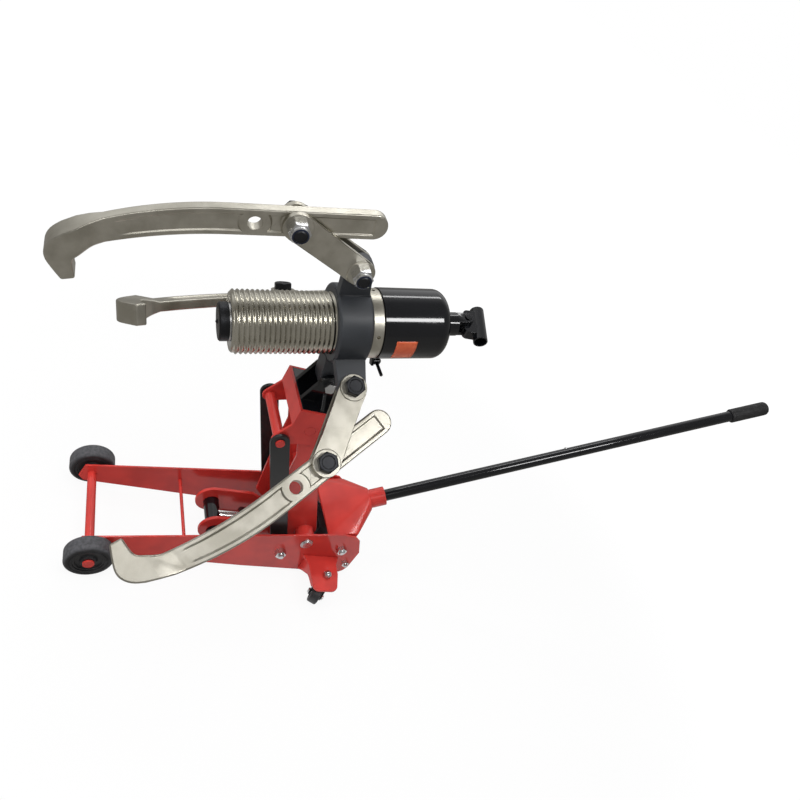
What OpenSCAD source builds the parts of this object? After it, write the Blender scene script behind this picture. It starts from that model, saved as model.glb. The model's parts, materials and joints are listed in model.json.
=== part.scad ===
// Trolley-mounted hydraulic gear puller with three link-mounted jaws, in millimetres.
// X runs from the jaws back to the handle, Y across, Z up from the floor. The origin is on the
// floor under the middle of the front axle. The operator stands at +X, so left is -Y.

/* [Front wheels] */
// Diameter of a front wheel over the tyre
wheel_d = 100; // [80:1:116]
// Width of a front tyre
wheel_w = 37; // [28:1:46]
// Diameter where the tyre sits on its hub
hub_d = 64; // [46:1:72]
// Diameter of the front axle
axle_d = 16; // [12:1:20]
// Space between a side plate and a front wheel
wheel_off = 8; // [5:0.5:14]

/* [Trolley frame] */
// Width over both side plates
frame_w = 207; // [202:1:236]
// Thickness of a side plate
plate_t = 5; // [4:0.5:7]
// Rear end of the side plates behind the front axle
frame_rear = 654; // [646:1:680]
// Front end of the side plates ahead of the front axle
nose_len = 27; // [22:1:34]
// Height of the rear crest of the side plates
deck_z = 162; // [154:1:176]
// Height of the belly of the side plates above the floor
belly_z = 8.5; // [6:0.5:14]
// Diameter of the front tie rod
tie_rod_d = 8; // [6:0.5:12]
// Distance of the front tie rod behind the front axle
front_rod_x = 203; // [190:1:216]
// Height of the front tie rod
front_rod_z = 65; // [58:1:72]
// Diameter of the rear tie bar
tie_bar_d = 20; // [16:1:24]

/* [Casters] */
// Distance of the caster swivels behind the front axle
caster_x = 556; // [548:1:566]
// Distance of a caster swivel from the middle plane
caster_y = 163; // [162:1:172]
// Diameter of a caster wheel
caster_d = 48; // [44:1:54]
// Width of a caster wheel
caster_w = 24; // [18:1:26]
// Offset of the caster axle from its swivel
caster_trail = 27; // [22:1:28]
// Swing of the left caster at rest, in degrees
caster_yaw = 32; // [0:1:180]
// Height of the top of the caster ears
ear_z = 70; // [69:0.5:74]
// Thickness of a caster ear
ear_t = 6; // [4:0.5:7]
// Diameter of the swivel stud
stud_d = 12; // [10:0.5:14]

/* [Lift arm] */
// Distance of the arm pivot behind the front axle
arm_x = 490.7; // [489:0.1:492]
// Height of the arm pivot
arm_z = 116.7; // [116:0.1:120]
// Length of the lift arm between pivots
arm_len = 376; // [360:1:392]
// Forward lean of the arm from upright, in degrees
arm_lean = 22.6; // [20:0.1:25]
// Thickness of an arm plate
arm_t = 6; // [5:0.5:8]
// Clear width between the two arm plates
arm_gap = 114; // [112:1:118]
// Diameter of the arm pivot shaft
arm_shaft_d = 32; // [28:1:34]
// Wall of the sleeve on the arm pivot shaft
sleeve_wall = 7; // [5:0.5:8]
// Diameter of the pin at the top of the arm
arm_pin_d = 24; // [20:1:28]

/* [Guide straps] */
// Strap pivot ahead of the arm pivot
strap_dx = 55; // [50:1:58]
// Strap pivot below the arm pivot
strap_dz = 38.6; // [34:0.1:42]
// Width of a guide strap
strap_w = 42; // [36:1:46]
// Thickness of a guide strap
strap_t = 8; // [6:0.5:10]
// Diameter of the strap pivots
strap_pin_d = 20; // [16:1:24]

/* [Carriage] */
// Thickness of a carriage cheek
cheek_t = 6; // [5:0.5:8]
// Height of the cheek top above the arm pin
cheek_top = 53; // [50:1:56]
// Diameter of the carriage cross tube
tube_d = 24; // [24:1:28]
// Puller pivot behind the arm pin
tilt_dx = 6.3; // [0:0.1:12]
// Puller pivot above the arm pin
tilt_dz = 101.3; // [98:0.1:106]
// Diameter of the puller pivot bolt
tilt_pin_d = 16; // [14:0.5:20]
// Thickness of a bracket ear
ear_plate_t = 10; // [8:0.5:12]
// Radius of the bracket ears round the puller pivot
bracket_r = 24; // [22:0.5:27]

/* [Lift jack] */
// Distance of the crosshead behind the front axle
cross_x = 277; // [275:0.5:279]
// Height of the jack centre line
jack_z = 66; // [64:0.5:66.5]
// Diameter of the crosshead shaft
cross_d = 38; // [34:0.5:40]
// Diameter of the jack ram
lift_ram_d = 32; // [26:1:34]
// Outside diameter of the jack cylinder
jack_d = 52; // [50:1:53]
// Front end of the jack cylinder behind the front axle
jack_front = 346; // [344:0.5:352]
// Thickness of a pull link
pull_t = 8; // [6:0.5:9]
// Distance of the rear end of the pull links behind the front axle
pull_end = 492; // [488:1:496]
// Where the narrow part of the pull links begins behind the front axle
pull_step = 420; // [414:1:426]
// Where the deep part of the pull links ends behind the front axle
pull_deep = 370; // [362:1:376]
// Diameter of the arm lever pins
lever_pin_d = 16; // [12:1:17]
// Distance of the lever pins from the arm pivot
lever_r = 65; // [64:0.5:66]
// Length of the pump block
block_len = 70; // [64:1:76]
// Width of the pump block
block_w = 80; // [70:1:84]
// Height of the pump block
block_h = 80; // [76:0.5:82]
// Height of the underside of the pump block above the floor
block_z = 30; // [26:0.5:32]
// Width of the pump barrel behind the block
barrel_w = 44; // [36:1:50]
// Length of the cross bar that carries the pump block
block_bar = 40; // [32:1:48]
// Diameter of the jack plunger
plunger_d = 12; // [10:0.5:14]

/* [Handle] */
// Distance of the yoke pivot behind the front axle
yoke_x = 594.4; // [592:0.1:598]
// Height of the yoke pivot
yoke_z = 105.5; // [102:0.5:108]
// Slope of the handle, in degrees
handle_slope = 30.6; // [28:0.1:34]
// Outside diameter of the handle tube
handle_d = 31; // [27:0.5:33]
// Length of the lower handle tube outside the yoke
lower_len = 566; // [500:1:600]
// Length of the whole handle outside the yoke
handle_len = 1180; // [1100:1:1260]
// Length of the hand grip
grip_len = 125; // [100:1:150]
// Diameter of the hand grip
grip_d = 37; // [35:0.5:42]
// Outside diameter of the yoke neck
neck_d = 50; // [46:1:54]
// Length of the yoke neck
neck_in = 62; // [54:1:66]
// Sheet thickness of the yoke
yoke_t = 5; // [4:0.5:6]
// Space between the yoke and a side plate
yoke_gap = 6; // [5:0.5:9]
// Thickness of a yoke cheek
yoke_cheek_t = 6; // [5:0.5:8]
// Front edge of the yoke ahead of its pivot
fan_fore = 51.4; // [46:0.2:56]
// Rear edge of the yoke behind its pivot
fan_aft = 27.6; // [25:0.2:30]
// Lower edge of the yoke above its pivot
fan_low = 20.5; // [19:0.5:24]
// Height of the front edge of the yoke
fan_lip = 19; // [17:0.5:21]
// Height of the rear edge of the yoke
fan_back = 33; // [31:0.5:36]
// Distance of the fan of the yoke from the mouth of its neck
fan_neck = 42; // [40:0.5:44]

/* [Puller head] */
// Forward dip of the puller from level, in degrees
puller_dip = 17; // [14:0.5:20]
// Height of the cylinder axis above the puller pivot
pivot_drop = 143; // [140:0.5:148]
// Outside diameter of the head
head_d = 160; // [152:1:164]
// Length of the head
head_len = 69; // [64:1:74]
// Radius of the link pivots round the cylinder axis
lug_r = 138; // [134:0.5:142]
// Thickness of a head lug and of a jaw bar
bar_t = 21; // [18:0.5:24]
// Width of the pivot lug under the head
foot_w = 46.8; // [42:0.2:50]

/* [Hydraulic cylinder] */
// Diameter over the thread
thread_d = 124.4; // [118:0.2:128]
// Pitch of the thread
pitch = 9.5; // [6:0.5:10]
// Depth of the thread
thread_h = 3; // [2:0.1:3.6]
// Length of thread ahead of the head
thread_out = 196; // [180:1:204]
// Diameter of the locking collar
collar_d = 142; // [136:1:146]
// Length of the locking collar
collar_len = 25; // [20:1:30]
// Diameter of the pump body
body_d = 145.4; // [142:0.2:152]
// Length of the pump body
body_len = 147; // [136:1:156]
// Diameter of the puller ram
ram_d = 72; // [64:0.5:78]
// Length of the puller ram behind the front end of the thread
ram_len = 154; // [148:1:158]
// Length of the piston at the rear of the puller ram
piston_len = 30; // [24:1:34]
// Diameter of the nose cap on the ram
nose_d = 75; // [70:0.5:84]
// Diameter of the pump neck
pump_neck_d = 50; // [44:1:56]
// Outside diameter of the lever socket
socket_d = 31; // [28:0.5:32]
// Bore of the lever socket
socket_bore = 25; // [20:0.5:26]
// Length of the lever socket
socket_len = 88; // [80:1:110]

/* [Jaws and links] */
// Distance between the two bolts of a link
link_len = 159; // [152:1:166]
// Width of a link plate
link_w = 54; // [48:1:56]
// Thickness of a link plate
link_t = 10; // [8:0.5:12]
// Height of the round bosses on a link plate
boss_h = 2.5; // [1.5:0.5:3]
// Diameter of the link bolts
bolt_d = 24; // [20:0.5:25]
// Width over the flats of the bolt heads
bolt_af = 36; // [32:0.5:38]
// Width of a jaw bar
jaw_w = 51; // [46:0.5:54]
// Width of the claw of a jaw
claw_w = 42; // [32:0.5:48]
// Distance from the jaw bolt to the root of the claw
claw_x = 325; // [312:1:332]
// Length of the claw along the jaw
claw_len = 72; // [66:1:76]
// Depth of the claw inward from the bar
claw_drop = 63.7; // [58:0.1:68]
// Distance from the jaw bolt to the start of the bend of a jaw
bend_x = 115; // [106:1:122]
// Radius of the bend along the middle of a jaw
bend_out = 620; // [600:5:680]
// Radius of the bend along the inner edge of a jaw
bend_in = 808; // [780:4:860]
// Distance from the jaw bolt to the spare hole
spare_x = 71; // [68:0.5:76]
// Length of the jaw behind its bolt
tail_len = 163; // [150:1:172]
// Depth of the pockets in the jaw faces
pocket_h = 3; // [2:0.1:4]
// Opening angle of the links, in degrees from forward
link_open = [35, 65.6, 62]; // [15:0.1:80]
// Opening angle of the jaws, in degrees from forward
jaw_open = [-1.3, 33.7, -19]; // [-20:0.1:40]

/* [Clearances] */
// Running clearance on the radius of a turning pin
run = 0.06; // [0.02:0.01:0.09]
// Fitting clearance on the radius of a fixed pin
fit = 0.05; // [0.02:0.01:0.09]
// Clearance between sliding faces
side = 0.3; // [0.2:0.05:0.5]

/* [Hidden] */
$fn = 64;
axle_z = wheel_d / 2;
plate_in = frame_w / 2 - plate_t;
ear_bot = ear_z - ear_t;
wheel_y = frame_w / 2 + wheel_off + wheel_w / 2;
strap_x = arm_x - strap_dx;
strap_z = arm_z - strap_dz;
top_x = arm_x - arm_len * sin(arm_lean);
top_z = arm_z + arm_len * cos(arm_lean);
guide_x = top_x - strap_dx;
guide_z = top_z - strap_dz;
tilt_x = top_x + tilt_dx;
tilt_z = top_z + tilt_dz;
arm_y = arm_gap / 2;
cheek_y = arm_y + arm_t + 3;
strap_y = cheek_y + cheek_t + 3;
sleeve_r = arm_shaft_d / 2 + sleeve_wall;
pull_y = 40;
lever_x = arm_x - lever_r * sin(20);
lever_z = arm_z - lever_r * cos(20);
tie_x = 632.5;
tie_z = 50.7;
plunger_x = yoke_x + 30;
block_1 = plunger_x - 9.4;
block_0 = block_1 - block_len;
block_top = block_z + block_h;
cheek_out = plate_in - yoke_gap;
fan_y = cheek_out - 0.5;
rib_z = yoke_z + 50.5;
grip_x = 697;
grip_z = 214.5;
head_front = -16;
head_rear = head_front + head_len;
thread_front = head_front - thread_out;
collar_0 = head_rear + side;
body_0 = collar_0 + collar_len;
body_1 = body_0 + body_len;
lug_s = 16.5;
lug_end = 28;
bore_d = thread_d - 28;
foot_gap = 0.6;
bolt_in = bar_t / 2 + side;
bolt_out = bolt_in + link_t;
head_h = 15;
nut_h = 24;
jaw_turn = [4, 124, 244];
lever_turn = -20;
socket_roll = 12;
socket_swing = 11;
pin_s = body_1 + 57;

red = [0.72, 0.07, 0.07];
black = [0.06, 0.06, 0.07];
steel = [0.72, 0.72, 0.73];
nickel = [0.60, 0.58, 0.54];
grey = [0.27, 0.27, 0.28];

// A bar along Y, centred on the middle plane or starting at y0.
module rod_y(d, len) rotate([90, 0, 0]) cylinder(d = d, h = len, center = true);
module stub_y(d, y0, y1) translate([0, y1, 0]) rotate([90, 0, 0]) cylinder(d = d, h = y1 - y0);
module hex_y(af, y0, y1) translate([0, y1, 0]) rotate([90, 0, 0])
    cylinder(d = af / cos(30), h = y1 - y0, $fn = 6);
// A bar along X.
module rod_x(d, x0, x1) translate([x0, 0, 0]) rotate([0, 90, 0]) cylinder(d = d, h = x1 - x0);
// A plate with an X-Z outline between y0 and y1.
module plate(y0, y1) translate([0, y1, 0]) rotate([90, 0, 0]) linear_extrude(y1 - y0) children();
module both_sides() {
    children();
    mirror([0, 1, 0]) children();
}
// Outline of a strut with two round ends.
module strut(p, q, r1, r2) {
    d = norm(q - p);
    t = atan2(q[1] - p[1], q[0] - p[0]);
    a = 90 - asin((r2 - r1) / d);
    translate(p) circle(r1);
    translate(q) circle(r2);
    polygon([for (e = [[p, r1, -1], [q, r2, -1], [q, r2, 1], [p, r1, 1]])
        e[0] + e[1] * [cos(t + e[2] * (180 - a)), sin(t + e[2] * (180 - a))]]);
}
// A turned piece round the X axis, from a radius-station outline.
module turned() rotate([0, 90, 0]) rotate_extrude() children();

// Frame of the puller: X along the cylinder axis toward the pump, origin above the puller pivot.
module in_puller() translate([tilt_x, 0, tilt_z]) rotate([0, -puller_dip, 0])
    translate([0, 0, pivot_drop]) children();
// Frame of one jaw plane: Z outward from the axis.
module in_jaw_plane(i) in_puller() rotate([jaw_turn[i], 0, 0]) children();
module in_link(i) in_jaw_plane(i) translate([lug_s, 0, lug_r]) rotate([0, link_open[i], 0])
    rotate([0, 0, 180]) children();
module in_jaw(i) in_jaw_plane(i) translate([lug_s - link_len * cos(link_open[i]), 0,
    lug_r + link_len * sin(link_open[i])]) rotate([0, jaw_open[i], 0]) rotate([0, 0, 180]) children();
// Frame of the handle: X along the handle, origin where it leaves the yoke neck.
module in_handle() translate([grip_x, 0, grip_z]) rotate([0, -handle_slope, 0]) children();

module plate_outline() difference() {
    polygon([[-nose_len * 0.75, axle_z + 25], [-nose_len, axle_z - 12], [-nose_len / 2, axle_z - 26],
        [143, belly_z + 9.5], [360, belly_z], [frame_rear - 18, belly_z - 3],
        [frame_rear - 9, belly_z + 4.5], [frame_rear - 2, belly_z + 20], [frame_rear, belly_z + 87],
        [frame_rear - 23, deck_z - 18.5], [frame_rear - 40, deck_z - 5.5], [frame_rear - 79, deck_z]]);
    translate([0, axle_z]) circle(d = axle_d + 2 * fit);
    translate([arm_x, arm_z]) circle(d = arm_shaft_d + 2 * fit);
    translate([strap_x, strap_z]) circle(d = strap_pin_d + 2 * fit);
    translate([yoke_x, yoke_z]) circle(d = strap_pin_d + 2 * fit);
    translate([tie_x, tie_z]) circle(d = 12 + 2 * fit);
}
module left_side_plate() color(red) plate(-frame_w / 2, -plate_in) plate_outline();
module right_side_plate() color(red) plate(plate_in, frame_w / 2) plate_outline();

module front_axle() color(red) translate([0, 0, axle_z]) {
    rod_y(axle_d, 2 * wheel_y + wheel_w + 2);
    both_sides() {
        stub_y(axle_d + 10, frame_w / 2, frame_w / 2 + wheel_off - side);
        stub_y(axle_d + 8, wheel_y + wheel_w / 2 + side, wheel_y + wheel_w / 2 + 5);
    }
}
module tie_rods() {
    color(red) translate([front_rod_x, 0, front_rod_z]) rod_y(tie_rod_d, 2 * plate_in);
    color(steel) translate([tie_x, 0, tie_z]) {
        rod_y(tie_bar_d, 2 * plate_in);
        rod_y(12, frame_w + 30);
        both_sides() hex_y(17, frame_w / 2, frame_w / 2 + 9);
    }
}
module ear_outline() difference() {
    union() {
        hull() {
            translate([caster_x - 27, caster_y + 27]) circle(16);
            translate([caster_x + 6, caster_y + 23]) circle(20);
            translate([caster_x + 25, caster_y - 9]) circle(10);
            translate([caster_x - 43, frame_w / 2]) square([79, 20]);
        }
        polygon([[caster_x - 53, frame_w / 2], [caster_x + 48, frame_w / 2],
            [caster_x + 36, frame_w / 2 + 24], [caster_x - 42, frame_w / 2 + 24]]);
    }
    translate([caster_x, caster_y]) circle(d = stud_d + 2 * run);
}
// Folded front edge of an ear, deep at the plate and narrow at the tip.
module ear_fold() translate([caster_x - 43, 0, 0]) rotate([90, 0, 90]) linear_extrude(3) polygon([
    [frame_w / 2, ear_bot + 1], [frame_w / 2, belly_z + 1.5], [caster_y - 39, ear_bot - 33],
    [caster_y - 13, ear_bot - 11], [caster_y - 2, ear_bot - 8], [caster_y + 24, ear_bot - 6],
    [caster_y + 24, ear_bot + 1]]);
module caster_ears() color(red) both_sides() {
    translate([0, 0, ear_bot]) linear_extrude(ear_t) ear_outline();
    ear_fold();
}
module arm_shaft() color(steel) translate([arm_x, 0, arm_z]) {
    rod_y(arm_shaft_d, frame_w + 6);
    both_sides() stub_y(arm_shaft_d - 8, frame_w / 2, frame_w / 2 + 6);
}
module pivot_bolts() color(steel) both_sides() {
    translate([strap_x, 0, strap_z]) {
        stub_y(strap_pin_d, strap_y - 1, frame_w / 2);
        stub_y(strap_pin_d + 12, strap_y + strap_t + side, plate_in);
        hex_y(strap_pin_d + 4, frame_w / 2, frame_w / 2 + 14);
        stub_y(strap_pin_d - 4, frame_w / 2, frame_w / 2 + 20);
    }
    translate([yoke_x, 0, yoke_z]) {
        stub_y(strap_pin_d, cheek_out - yoke_cheek_t - 1, frame_w / 2);
        stub_y(strap_pin_d + 10, cheek_out + side, plate_in);
        hex_y(strap_pin_d + 4, frame_w / 2, frame_w / 2 + 11);
        stub_y(strap_pin_d - 4, frame_w / 2, frame_w / 2 + 15);
    }
}

module tyre() color(black) rotate([90, 0, 0]) rotate_extrude() difference() {
    union() {
        translate([hub_d / 2 + fit, -wheel_w / 2]) square([wheel_d / 2 - hub_d / 2 - fit - 7, wheel_w]);
        translate([hub_d / 2 + fit, 7 - wheel_w / 2])
            square([wheel_d / 2 - hub_d / 2 - fit, wheel_w - 14]);
        for (k = [-1, 1]) translate([wheel_d / 2 - 7, k * (wheel_w / 2 - 7)]) circle(7);
    }
    for (k = [-1, 1]) translate([hub_d / 2 + 6, k * wheel_w / 2]) circle(1.6);
}
module hub() color(grey) rotate([90, 0, 0]) rotate_extrude() polygon([
    for (k = [1, -1]) each k > 0
        ? [[axle_d / 2 + run, wheel_w / 2], [axle_d / 2 + 8, wheel_w / 2],
           [axle_d / 2 + 10, wheel_w / 2 - 6], [hub_d / 2 - 5, wheel_w / 2 - 6],
           [hub_d / 2 - 4, wheel_w / 2 - 2], [hub_d / 2, wheel_w / 2 - 2]]
        : [[hub_d / 2, 2 - wheel_w / 2], [hub_d / 2 - 4, 2 - wheel_w / 2],
           [hub_d / 2 - 5, 6 - wheel_w / 2], [axle_d / 2 + 10, 6 - wheel_w / 2],
           [axle_d / 2 + 8, -wheel_w / 2], [axle_d / 2 + run, -wheel_w / 2]]]);
module left_front_tyre() translate([0, -wheel_y, axle_z]) tyre();
module left_front_hub() translate([0, -wheel_y, axle_z]) hub();
module right_front_tyre() translate([0, wheel_y, axle_z]) tyre();
module right_front_hub() translate([0, wheel_y, axle_z]) hub();

// Caster in its own frame: swivel on Z, wheel trailing toward +Y.
module fork() color(black) {
    leg = caster_w / 2 + 1.5;
    top = ear_z - ear_t - side;
    translate([0, 0, top - 6]) cylinder(d = 46, h = 6);
    cylinder_top = ear_z + 12;
    translate([0, 0, top - 1]) cylinder(d = stud_d, h = cylinder_top - top + 1);
    for (k = [-1, 1]) translate([k > 0 ? leg : -leg - 4, 0, 0]) rotate([90, 0, 90]) linear_extrude(4)
        difference() {
            union() {
                strut([caster_trail, caster_d / 2], [8, top - 14], 9, 13);
                translate([-5, top - 14]) square([26, 12]);
            }
            translate([caster_trail, caster_d / 2]) circle(d = 8 + 2 * fit);
        }
}
module caster_wheel() color(grey) translate([0, caster_trail, caster_d / 2]) rotate([0, 90, 0])
    rotate_extrude() difference() {
        union() {
            translate([4 + run, -caster_w / 2]) square([caster_d / 2 - 4 - run - 4, caster_w]);
            translate([4 + run, 4 - caster_w / 2]) square([caster_d / 2 - 4 - run, caster_w - 8]);
            for (k = [-1, 1]) translate([caster_d / 2 - 4, k * (caster_w / 2 - 4)]) circle(4);
        }
        for (k = [-1, 1]) translate([12, k * caster_w / 2]) square([7, 4], center = true);
    }
module caster_fasteners() color(steel) {
    translate([0, 0, ear_z + side]) difference() {
        cylinder(d = 19 / cos(30), h = 9, $fn = 6);
        translate([0, 0, -1]) cylinder(d = stud_d + 2 * fit, h = 12);
    }
    translate([0, caster_trail, caster_d / 2]) rotate([0, 90, 0]) {
        cylinder(d = 8, h = caster_w + 11, center = true);
        for (k = [0, 180]) rotate([k, 0, 0]) translate([0, 0, caster_w / 2 + 5.5])
            cylinder(d = 13, h = 4);
    }
}
module at_caster(k) translate([caster_x, k * caster_y, 0]) rotate([0, 0, k < 0 ? -caster_yaw : 0])
    mirror([0, k < 0 ? 1 : 0, 0]) children();
module left_caster_fork() at_caster(-1) fork();
module left_caster_wheel() at_caster(-1) caster_wheel();
module left_caster_fasteners() at_caster(-1) caster_fasteners();
module right_caster_fork() at_caster(1) fork();
module right_caster_wheel() at_caster(1) caster_wheel();
module right_caster_fasteners() at_caster(1) caster_fasteners();

module pump_block() color(grey) difference() {
    union() {
        translate([block_0, -block_w / 2, block_z]) cube([block_len, block_w, block_h]);
        translate([block_1 - 15, -barrel_w / 2, block_top - 36]) cube([40, barrel_w, 36]);
        translate([block_0 + 15, -plate_in, block_z - 2]) cube([block_bar, 2 * plate_in, 20]);
        translate([block_0 + 35, 12 - block_w / 2, block_top - 2]) cylinder(d = 18, h = 9, $fn = 6);
        translate([block_0 + 20, block_w / 2 - 18, block_top - 2]) cylinder(d = 26, h = 7);
    }
    translate([plunger_x, 0, block_top - 33]) cylinder(d = plunger_d + 2 * run, h = 40);
}
module jack_cylinder() color(black) translate([0, 0, jack_z]) difference() {
    union() {
        rod_x(jack_d, jack_front, block_0);
        rod_x(jack_d + 6, block_0 - 25, block_0);
    }
    rod_x(lift_ram_d + 2 * run, jack_front - 1, jack_front + 20);
    rod_x(jack_d - 10, jack_front + 14, block_0 - 27);
}
module lift_ram() color(steel) translate([0, 0, jack_z]) {
    rod_x(lift_ram_d, cross_x, jack_front + 90);
    rod_x(jack_d - 10 - 2 * run, jack_front + 84, jack_front + 100);
}
module crosshead_shaft() color(black) translate([cross_x, 0, jack_z]) difference() {
    rod_y(cross_d, 2 * (pull_y + pull_t + 4));
    rod_x(lift_ram_d + 2 * fit, 0, cross_d);
}
module pull_links() color(red) both_sides() plate(pull_y, pull_y + pull_t) difference() {
    union() {
        translate([cross_x, jack_z + 6]) circle(40);
        polygon([[cross_x, jack_z + 46], [pull_deep, jack_z + 46], [pull_step, jack_z + 20],
            [pull_end, jack_z + 20], [pull_end, jack_z - 28], [pull_step, jack_z - 28],
            [cross_x, jack_z - 34]]);
    }
    translate([cross_x, jack_z]) circle(d = cross_d + 2 * fit);
    translate([lever_x, lever_z - 0.9]) square([lever_pin_d + 2, lever_pin_d + 9], center = true);
}

module arm_outline() difference() {
    union() {
        strut([top_x, top_z], [arm_x, arm_z], 23, 33);
        strut([arm_x, arm_z], [lever_x, lever_z], 33, 18);
        polygon([[top_x - 18, top_z - 13], [top_x + 8, top_z - 62], [arm_x - 126.7, arm_z + 138],
            [arm_x - 110.7, arm_z - 2], [lever_x - 14, lever_z - 11], [arm_x, arm_z]]);
    }
    translate([top_x, top_z]) circle(d = arm_pin_d + 2 * run);
    translate([arm_x, arm_z]) circle(d = arm_shaft_d + 2 * run);
}
module lift_arm() color(red) {
    both_sides() {
        plate(arm_y, arm_y + arm_t) arm_outline();
        translate([lever_x, 0, lever_z]) stub_y(lever_pin_d, pull_y - 2, arm_y);
    }
    translate([arm_x, 0, arm_z]) difference() {
        rod_y(2 * sleeve_r, 2 * (plate_in - side));
        rod_y(arm_shaft_d + 2 * run, frame_w);
    }
    translate([top_x + 85, 0, top_z - 205]) rod_y(24, arm_gap);
}
module strap_outline() difference() {
    strut([strap_x, strap_z], [guide_x, guide_z], strap_w / 2, strap_w / 2);
    translate([strap_x, strap_z]) circle(d = strap_pin_d + 2 * run);
    translate([guide_x, guide_z]) circle(d = strap_pin_d + 2 * run);
}
module left_guide_strap() color(black) plate(-strap_y - strap_t, -strap_y) strap_outline();
module right_guide_strap() color(black) plate(strap_y, strap_y + strap_t) strap_outline();

module cheek_outline() difference() {
    translate([top_x, top_z]) union() {
        polygon([[-46, 8], [-46, cheek_top], [48, cheek_top], [48, 6], [28, -40], [-14, -44],
            [-strap_dx + 4, -strap_dz - 17], [-strap_dx - 15, -strap_dz + 9]]);
        translate([-strap_dx, -strap_dz]) circle(17.5);
    }
    translate([top_x, top_z]) circle(d = arm_pin_d + 2 * fit);
    translate([guide_x, guide_z]) circle(d = strap_pin_d + 2 * fit);
}
module carriage_frame() color(red) {
    both_sides() plate(cheek_y, cheek_y + cheek_t) cheek_outline();
    translate([top_x - 46, -cheek_y, top_z + 8]) cube([6, 2 * cheek_y, cheek_top - 8]);
}
module carriage_cross_tube() color(red) translate([guide_x, 0, guide_z]) {
    rod_y(tube_d, 2 * cheek_y);
    rod_y(strap_pin_d, 2 * (strap_y + strap_t + 4));
}
module arm_top_pin() color(red) translate([top_x, 0, top_z]) {
    rod_y(arm_pin_d, 2 * (cheek_y + cheek_t));
}
module bracket_outline() difference() {
    union() {
        translate([tilt_x, tilt_z]) circle(bracket_r);
        polygon([[tilt_x - 44, top_z + cheek_top], [tilt_x + 38, top_z + cheek_top],
            [tilt_x + bracket_r * cos(20), tilt_z + bracket_r * sin(20)],
            [tilt_x - bracket_r * cos(20), tilt_z + bracket_r * sin(20)]]);
    }
    translate([tilt_x, tilt_z]) circle(d = tilt_pin_d + 2 * fit);
}
module puller_bracket() color(black) {
    ear_0 = foot_w / 2 + foot_gap;
    ear_1 = ear_0 + ear_plate_t;
    translate([top_x - 40 + fit, -cheek_y + fit, top_z + cheek_top - 8])
        cube([88, 2 * cheek_y - 2 * fit, 8]);
    both_sides() {
        plate(ear_0, ear_1) bracket_outline();
        translate([tilt_x - 4, 0, top_z + cheek_top]) rotate([90, 0, 90]) linear_extrude(8)
            polygon([[ear_1 - 1, 0], [cheek_y - 4, 0], [ear_1, tilt_dz - cheek_top - 22],
                [ear_1 - 1, tilt_dz - cheek_top - 22]]);
    }
}
// Bolt along Y with its head at -h and its nut at +h.
module nut_y(y0, d, af, h) difference() {
    union() {
        hex_y(af, y0, y0 + h * 0.75);
        stub_y(af - 3, y0 + h * 0.75, y0 + h);
    }
    stub_y(d + 2 * fit, y0 - 1, y0 + h + 1);
}
module bracket_bolt() color(steel) translate([tilt_x, 0, tilt_z]) {
    grip = foot_w / 2 + foot_gap + ear_plate_t;
    stub_y(tilt_pin_d, -grip - 1, grip + tilt_pin_d + 1);
    hex_y(tilt_pin_d + 8, -grip - 10, -grip);
    nut_y(grip, tilt_pin_d, tilt_pin_d + 8, tilt_pin_d);
}

// Sheet fan of the yoke, shrunk by the sheet thickness for its hollow underside.
module yoke_fan(t) hull() {
    translate([yoke_x - fan_fore + t, t - fan_y, yoke_z + fan_low - 2 * t])
        cube([6, 2 * (fan_y - t), fan_lip]);
    translate([yoke_x + fan_aft - 6 - t, t - fan_y, yoke_z + fan_low - 2 * t])
        cube([6, 2 * (fan_y - t), fan_back]);
    translate([0, 0, -t]) in_handle() translate([-fan_neck, 0, 0]) rotate([0, 90, 0])
        cylinder(r = neck_d / 2 + 4 - t, h = 2, center = true, $fn = 32);
}
module handle_yoke() color(red) {
    difference() {
        union() {
            difference() {
                yoke_fan(0);
                translate([0, 0, -yoke_t]) yoke_fan(yoke_t);
                translate([yoke_x - 100, -plate_in, yoke_z + fan_low - 65.9]) cube([200, 2 * plate_in, 66]);
                translate([yoke_x - 100, yoke_t - fan_y, yoke_z + fan_low - 66])
                    cube([fan_aft + 128, 2 * (fan_y - yoke_t), 80]);
            }
            both_sides() plate(cheek_out - yoke_cheek_t, cheek_out) union() {
                translate([yoke_x, yoke_z]) circle(20);
                polygon([[yoke_x - 20, yoke_z], [yoke_x + 20, yoke_z],
                    [yoke_x + fan_aft - 2, yoke_z + fan_low + 2],
                    [yoke_x - fan_fore + 5, yoke_z + fan_low + 2]]);
            }
            in_handle() rod_x(neck_d, -neck_in, 0);
            translate([plunger_x - 14, -6, rib_z]) cube([34, 12, 24]);
        }
        in_handle() rod_x(handle_d + 2 * run, 6 - neck_in, 10);
        translate([yoke_x, 0, yoke_z]) rod_y(strap_pin_d + 2 * run, frame_w + 100);
    }
}
module jack_plunger() color(steel) translate([plunger_x, 0, block_top - 20])
    cylinder(d = plunger_d, h = rib_z - block_top + 19);
module handle_lower_tube() color(black) in_handle() difference() {
    rod_x(handle_d, 8 - neck_in, lower_len);
    rod_x(handle_d - 5, 7 - neck_in, lower_len + 1);
}
module handle_upper_tube() color(black) in_handle() {
    difference() {
        rod_x(handle_d - 5 - 2 * fit, lower_len - 60, handle_len - 4);
        rod_x(handle_d - 10, lower_len - 61, handle_len - 12);
    }
    difference() {
        rod_x(handle_d, lower_len + 0.5, handle_len - grip_len);
        rod_x(handle_d - 8, lower_len - 1, handle_len - grip_len + 1);
    }
}
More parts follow.
